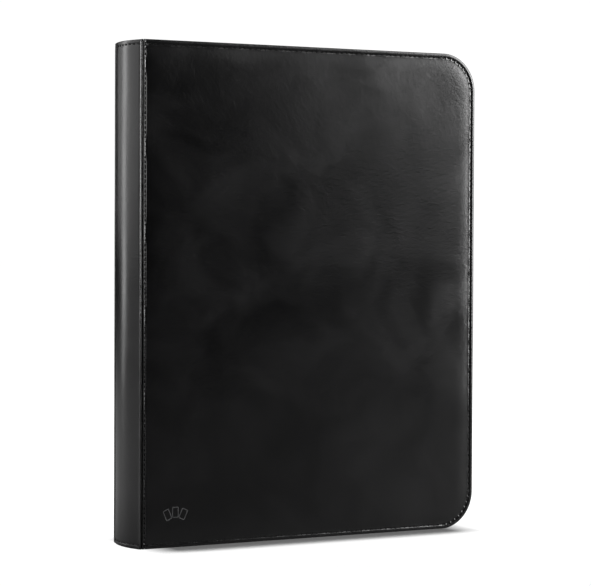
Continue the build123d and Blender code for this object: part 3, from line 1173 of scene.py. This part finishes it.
frontCoil = makeCoil("frontZipCoil", 0)
backCoil = mirrorToBack(makeCoil("backCoilHalf", coilShape["pitch"] / 2 * mm), "backZipCoil")
removePiece(bpy.data.objects["backCoilHalf"])
for piece, cover in ((frontCoil, "front"), (backCoil, "back")):
    giveMaterial(piece, coilNylon)
    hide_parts(f"{cover}_zip_coil")
    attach(piece, f"{cover}_cover")
print("stage: zip coils", len(frontCoil.data.polygons), "faces each")


# zip slider and pull

sliderLow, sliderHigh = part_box("zip_slider")
pullLow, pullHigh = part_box("zip_pull")
sliderShape = {
    "plateThick": 0.9, "plateBevel": 2.2, "lipHeight": 0.7, "lipWide": 0.5, "post": (3.0, 0.8),
    "crownFoot": 7.0, "crownWide": 2.2, "crownWire": 0.62, "soften": 0.18,
}
pullShape = {"window": (5.0, 3.4), "windowFrom": 1.2, "soften": 0.28}


def flatPlate(name, lowX, highX, halfY, z, thick, corner):
    bpy.ops.mesh.primitive_plane_add(size=1, location=((lowX + highX) / 2, 0, z))
    bpy.context.active_object.scale = (highX - lowX, 2 * halfY, 1)
    plate = newPiece(name)
    editPiece(plate)
    selectAll()
    bpy.ops.mesh.bevel(offset=corner, segments=6, affect="VERTICES")
    selectAll()
    bpy.ops.mesh.select_mode(type="FACE")
    extrudeBy(z=thick)
    leaveEdit()
    return plate


def soften(piece, width, angle=50):
    bevel = piece.modifiers.new("soften", "BEVEL")
    bevel.width = width * mm
    bevel.segments = 2
    bevel.limit_method = "ANGLE"
    bevel.angle_limit = math.radians(angle)
    applyModifiers(piece)


def joinAll(name, parts):
    onlySelect(parts[0])
    for part in parts[1:]:
        part.select_set(True)
    bpy.ops.object.join()
    parts[0].name = name
    parts[0].data.name = name
    return parts[0]


def makeSlider():
    shape = sliderShape
    thick = shape["plateThick"] * mm
    crownBase = sliderHigh.z - 2.6 * mm
    halfY = sliderHigh.y
    parts = []
    for base, lipSide in ((sliderLow.z, 1), (crownBase - thick, -1)):
        plate = flatPlate("plate", sliderLow.x, sliderHigh.x, halfY, base, thick, shape["plateBevel"] * mm)
        # low lips along both sides keep the tape in its channel
        editPiece(plate, "FACE")
        inner = base + thick if lipSide > 0 else base
        for sign in (-1, 1):
            selectAll()
            bpy.ops.mesh.bisect(plane_co=(0, sign * (halfY - shape["lipWide"] * mm), 0), plane_no=(0, 1, 0))
        pick(plate, "faces", lambda face: abs(face.calc_center_median().z - inner) < near
             and abs(face.calc_center_median().y) > halfY - shape["lipWide"] * mm)
        extrudeBy(z=lipSide * shape["lipHeight"] * mm)
        leaveEdit()
        soften(plate, shape["soften"])
        parts.append(plate)
    postLong, postWide = (value * mm for value in shape["post"])
    post = flatPlate("post", sliderLow.x, sliderLow.x + postLong, postWide / 2, sliderLow.z + 0.4 * mm,
                     crownBase - sliderLow.z - 0.8 * mm, 0.3 * mm)
    parts.append(post)
    # the crown: a bar bent over in an arch for the pull to hang from
    middleX = (sliderLow.x + sliderHigh.x) / 2
    wire = shape["crownWire"] * mm
    bpy.ops.mesh.primitive_plane_add(size=1, location=(middleX - shape["crownFoot"] / 2 * mm + wire / 2, 0,
                                                       crownBase - 0.2 * mm))
    bpy.context.active_object.scale = (wire, shape["crownWide"] * mm, 1)
    crown = newPiece("crown")
    editPiece(crown, "FACE")
    selectAll()
    bend = 1.3 * mm
    extrudeBy(z=2.8 * mm - bend)
    centreZ = crownBase - 0.2 * mm + 2.8 * mm - bend
    centreX = middleX - shape["crownFoot"] / 2 * mm + bend
    bpy.ops.mesh.spin(steps=7, angle=math.pi / 2, center=(centreX, 0, centreZ), axis=(0, 1, 0))
    extrudeBy(x=shape["crownFoot"] * mm - 2 * bend)
    bpy.ops.mesh.spin(steps=7, angle=math.pi / 2, center=(2 * middleX - centreX, 0, centreZ), axis=(0, 1, 0))
    extrudeBy(z=-(2.8 * mm - bend))
    leaveEdit()
    closeUp(crown, 40)
    soften(crown, 0.15)
    parts.append(crown)
    slider = joinAll("zipSlider", parts)
    closeUp(slider, 40)
    return slider


def makePull():
    thick = pullHigh.z - pullLow.z
    halfY = pullHigh.y
    pull = flatPlate("zipPull", pullLow.x, pullHigh.x, halfY, pullLow.z, thick, 1.9 * mm)
    editPiece(pull, "FACE")
    longWindow, wideWindow = (value * mm for value in pullShape["window"])
    startX = pullLow.x + pullShape["windowFrom"] * mm
    for cutX in (startX, startX + longWindow):
        selectAll()
        bpy.ops.mesh.bisect(plane_co=(cutX, 0, 0), plane_no=(1, 0, 0))
    for cutY in (-wideWindow / 2, wideWindow / 2):
        selectAll()
        bpy.ops.mesh.bisect(plane_co=(0, cutY, 0), plane_no=(0, 1, 0))

    def inWindow(face):
        centre = face.calc_center_median()
        return (abs(face.normal.z) > 0.9 and startX < centre.x < startX + longWindow
                and abs(centre.y) < wideWindow / 2)

    pick(pull, "faces", inWindow)
    bpy.ops.mesh.bridge_edge_loops()
    leaveEdit()
    # a shallow waist behind the window
    def place(co):
        along = (co.x - pullLow.x) / (pullHigh.x - pullLow.x)
        waist = 1 - 0.22 * math.exp(-((along - 0.42) / 0.16) ** 2)
        return Vector((co.x, co.y * waist, co.z))

    editPiece(pull, "FACE")
    for step in range(1, 8):
        selectAll()
        cutX = startX + longWindow + step * (pullHigh.x - startX - longWindow) / 8
        bpy.ops.mesh.bisect(plane_co=(cutX, 0, 0), plane_no=(1, 0, 0))
    leaveEdit()
    moveVerts(pull, place)
    closeUp(pull, 40)
    soften(pull, pullShape["soften"])
    closeUp(pull, 40)
    return pull


slider = makeSlider()
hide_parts("zip_slider")
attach(slider, "slider")
pull = makePull()
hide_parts("zip_pull")
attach(pull, "pull")
for piece in (slider, pull):
    giveMaterial(piece, zipMetal)
print("stage: zip slider and pull")


# leaves of pockets

leafShape = {
    "foldX": 6.0, "first": 11.875, "pitch": 1.25, "step": 1.0, "rootGap": 0.8, "low": 30.0, "high": 320.0,
    "thick": 0.3, "corner": 5.0, "neck": (-0.9, -0.6, -0.3, 0.0, 0.3, 0.6, 1.0, 2.0, 5.0, 8.0),
}
pocketShape = {
    "across": 67.0, "up": 92.0, "gap": 1.6, "thick": 0.05, "puff": 0.16, "lift": 0.03, "notch": 8.5,
    "notchDeep": 4.2,
}
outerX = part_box("leaf_01")[1].x


def makePocket():
    # clear film welded on three sides, its mouth toward the spine with a thumb cut
    shape = pocketShape
    wide = (shape["across"] - shape["gap"]) * mm
    high = (shape["up"] - shape["gap"]) * mm
    bpy.ops.mesh.primitive_plane_add(size=1, rotation=(math.pi / 2, 0, 0))
    bpy.context.active_object.scale = (wide, high, 1)
    pocket = newPiece("pocket")
    editPiece(pocket, "EDGE")
    pick(pocket, "edges", lambda edge: all(vert.co.x < 0 for vert in edge.verts))
    bpy.ops.mesh.subdivide(number_cuts=31)
    leaveEdit()
    notch = shape["notch"] * mm

    def cutNotch(co):
        if co.x > -wide / 2 + near or abs(co.z) > notch:
            return co
        return Vector((co.x + shape["notchDeep"] * mm * math.sqrt(max(0, 1 - (co.z / notch) ** 2)), co.y,
                       co.z))

    moveVerts(pocket, cutNotch)
    editPiece(pocket, "FACE")
    for cut in (-0.42, -0.25, 0, 0.25, 0.46):
        selectAll()
        bpy.ops.mesh.bisect(plane_co=(0, 0, cut * high), plane_no=(0, 0, 1))
    for cut in (-0.3, 0, 0.3, 0.46):
        selectAll()
        bpy.ops.mesh.bisect(plane_co=(cut * wide, 0, 0), plane_no=(1, 0, 0))
    leaveEdit()

    def puff(co):
        acrossPart = 1 - max(0, co.x / (wide / 2)) ** 4
        upPart = 1 - (co.z / (high / 2)) ** 4
        return Vector((co.x, -(shape["lift"] + shape["puff"] * acrossPart * upPart) * mm, co.z))

    moveVerts(pocket, puff)
    thicken(pocket, shape["thick"], Vector((0, -1, 0)))
    closeUp(pocket, 40)
    return pocket


def makeLeafSheet():
    # dark film from the fold to the outer edge, with fine columns across the fold
    left = creaseX + (leafShape["foldX"] + leafShape["neck"][0]) * mm
    low, high = leafShape["low"] * mm, leafShape["high"] * mm
    bpy.ops.mesh.primitive_plane_add(size=1, location=((left + outerX) / 2, 0, (low + high) / 2),
                                     rotation=(math.pi / 2, 0, 0))
    bpy.context.active_object.scale = (outerX - left, high - low, 1)
    sheet = newPiece("leafSheet")
    editPiece(sheet)
    pick(sheet, "verts", lambda vert: vert.co.x > outerX - near)
    bpy.ops.mesh.bevel(offset=leafShape["corner"] * mm, segments=8, affect="VERTICES")
    for column in leafShape["neck"][1:]:
        selectAll()
        cutX = creaseX + (leafShape["foldX"] + column) * mm
        bpy.ops.mesh.bisect(plane_co=(cutX, 0, 0), plane_no=(1, 0, 0))
    leaveEdit()
    return sheet


def makeLeafModel():
    sheet = makeLeafSheet()
    half = leafShape["thick"] / 2 * mm
    moveVerts(sheet, lambda co: Vector((co.x, -half, co.z)))
    thicken(sheet, leafShape["thick"], Vector((0, -1, 0)))
    closeUp(sheet, 40)
    pocket = makePocket()
    places = []
    flip = Matrix.Rotation(math.pi, 4, "X")
    middleX = outerX - (4.0 + 1.5 * pocketShape["across"]) * mm
    middleZ = (leafShape["low"] + leafShape["high"]) / 2 * mm
    for column in (-1, 0, 1):
        for row in (-1, 0, 1):
            spot = Vector((middleX + column * pocketShape["across"] * mm, 0,
                           middleZ + row * pocketShape["up"] * mm))
            places.append(Matrix.Translation(spot + Vector((0, -half, 0))))
            places.append(Matrix.Translation(spot + Vector((0, half, 0))) @ flip)
    pockets = layAlong(pocket, "leafPockets", places)
    removePiece(pocket)
    giveMaterial(sheet, leafFilm)
    giveMaterial(pockets, clearFilm)
    return sheet, pockets


def placeLeaf(model, name, index, side):
    shift = index * leafShape["step"] * mm
    neckEnd = creaseX + (leafShape["foldX"] + 9) * mm
    y = side * (leafShape["first"] - leafShape["pitch"] * index) * mm
    leaf = model.copy()
    leaf.data = model.data.copy()
    leaf.name = name
    leaf.data.name = name
    bpy.context.collection.objects.link(leaf)
    moveVerts(leaf, lambda co: Vector((co.x + (shift if co.x < neckEnd else 0), co.y + y, co.z)))
    return leaf


leafSheet, leafPockets = makeLeafModel()
leafCount = 10
for side in (-1, 1):
    for index in range(leafCount):
        number = index + 1 if side < 0 else 2 * leafCount - index
        node = f"leaf_{number:02d}"
        y = side * (leafShape["first"] - leafShape["pitch"] * index) * mm
        sheet = placeLeaf(leafSheet, f"leafSheet{number:02d}", index, side)
        pockets = placeLeaf(leafPockets, f"leafPockets{number:02d}", 0, 0)
        moveVerts(pockets, lambda co: Vector((co.x, co.y + y, co.z)))
        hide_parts(node)
        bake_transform(sheet)
        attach(pockets, node)
removePiece(leafSheet)
removePiece(leafPockets)
print("stage: leaves")


# strip that the leaves are sewn into

stripShape = {"face": 3.4, "thick": 1.15, "halfWidth": 14.3, "low": 25.0, "high": 325.0, "rootThick": 0.42}
stripRow = {"pitch": 4.0, "y": 13.2, "end": 6.0}


def makeBindingStrip():
    shape = stripShape
    halfY = shape["halfWidth"] * mm
    backX = creaseX + (shape["face"] - shape["thick"]) * mm
    bpy.ops.mesh.primitive_plane_add(size=1, location=(backX, 0, tall / 2), rotation=(0, math.pi / 2, 0))
    bpy.context.active_object.scale = ((shape["high"] - shape["low"]) * mm, 2 * halfY, 1)
    strip = newPiece("bindingStrip")
    editPiece(strip)
    selectAll()
    bpy.ops.mesh.bevel(offset=2.5 * mm, segments=5, affect="VERTICES")
    selectAll()
    bpy.ops.mesh.select_mode(type="FACE")
    extrudeBy(x=shape["thick"] * mm)
    leaveEdit()
    soften(strip, 0.3)
    parts = [strip]
    root = leafShape["rootGap"] * mm
    for side in (-1, 1):
        for index in range(leafCount):
            y = side * (leafShape["first"] - leafShape["pitch"] * index) * mm
            startX = creaseX + (shape["face"] - 0.3) * mm
            endX = creaseX + (leafShape["foldX"] + leafShape["step"] * index) * mm - root
            bpy.ops.mesh.primitive_cube_add(size=1, location=((startX + endX) / 2, y, tall / 2))
            bpy.context.active_object.scale = (endX - startX, shape["rootThick"] * mm,
                                               (leafShape["high"] - leafShape["low"]) * mm)
            parts.append(newPiece("root"))
            soften(parts[-1], 0.1)
    return joinAll("bindingStrip", parts)


def stripStitchPlaces():
    places = []
    x = creaseX + (stripShape["face"] + 0.08) * mm
    low, high = (stripShape["low"] + stripRow["end"]) * mm, (stripShape["high"] - stripRow["end"]) * mm
    count = int((high - low) / (stripRow["pitch"] * mm))
    for y in (-stripRow["y"] * mm, stripRow["y"] * mm):
        for index in range(count + 1):
            places.append(axesAt(Vector((x, y, low + index * stripRow["pitch"] * mm)), Vector((0, 0, 1)),
                                 Vector((1, 0, 0))))
    return places


bindingStrip = makeBindingStrip()
giveMaterial(bindingStrip, leafFilm)
onlySelect(bindingStrip)
bpy.ops.object.shade_smooth_by_angle(angle=math.radians(40))
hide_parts("leaf_binding_strip")
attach(bindingStrip, "spine")
stripStitch = makeStitch("stripStitch", {"length": 2.9, "radius": 0.26, "sink": 0.3})
stripStitches = layAlong(stripStitch, "bindingStitches", stripStitchPlaces())
removePiece(stripStitch)
giveMaterial(stripStitches, thread)
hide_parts("binding_stitching")
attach(stripStitches, "spine")
print("stage: binding strip")


# modelled parts that keep their own shape

for node, material, slot in (("front_board", greyBoard, "board"), ("back_board", greyBoard, "board"),
                             ("spine_board", greyBoard, "board"), ("front_zip_stops", zipMetal, "zip_metal"),
                             ("back_zip_stops", zipMetal, "zip_metal")):
    giveMaterial(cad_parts[node], material)
print("stage: boards and zip stops")


# pressed mark low on the front cover: three fanned cards

markShape = {
    "x": 27.0, "z": 24.0, "card": (5.0, 7.6), "corner": 0.9, "line": 0.62, "proud": 0.04, "deep": 0.25,
    "fan": ((-24, -6.1, -1.1), (24, 6.1, -1.1), (0, 0.0, 0.4)),
}


def makeMark():
    shape = markShape
    wide, high = (value * mm for value in shape["card"])
    cards = []
    for turn, x, z in shape["fan"]:
        bpy.ops.mesh.primitive_plane_add(size=1, rotation=(math.pi / 2, 0, 0))
        bpy.context.active_object.scale = (wide, high, 1)
        card = newPiece("markCard")
        editPiece(card)
        selectAll()
        bpy.ops.mesh.bevel(offset=shape["corner"] * mm, segments=5, affect="VERTICES")
        selectAll()
        bpy.ops.mesh.select_mode(type="FACE")
        bpy.ops.mesh.inset(thickness=shape["line"] * mm, depth=0, use_even_offset=True)
        bpy.ops.mesh.delete(type="FACE")
        selectAll()
        extrudeBy(y=shape["deep"] * mm)
        leaveEdit()
        centre = Vector((creaseX + (shape["x"] + x) * mm, 0, (shape["z"] + z) * mm))
        turned = Matrix.Rotation(math.radians(turn), 4, "Y")
        moveVerts(card, lambda co: turned @ co + centre)
        cards.append(card)
    mark = joinAll("pressedMark", cards)
    moveVerts(mark, lambda co: Vector((co.x, outerY + skinDepth(co.x, co.z) - shape["proud"] * mm + co.y,
                                       co.z)))
    closeUp(mark, 40)
    return mark


mark = makeMark()
giveMaterial(mark, pressedLeather)
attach(mark, "front_cover")
print("stage: pressed mark")
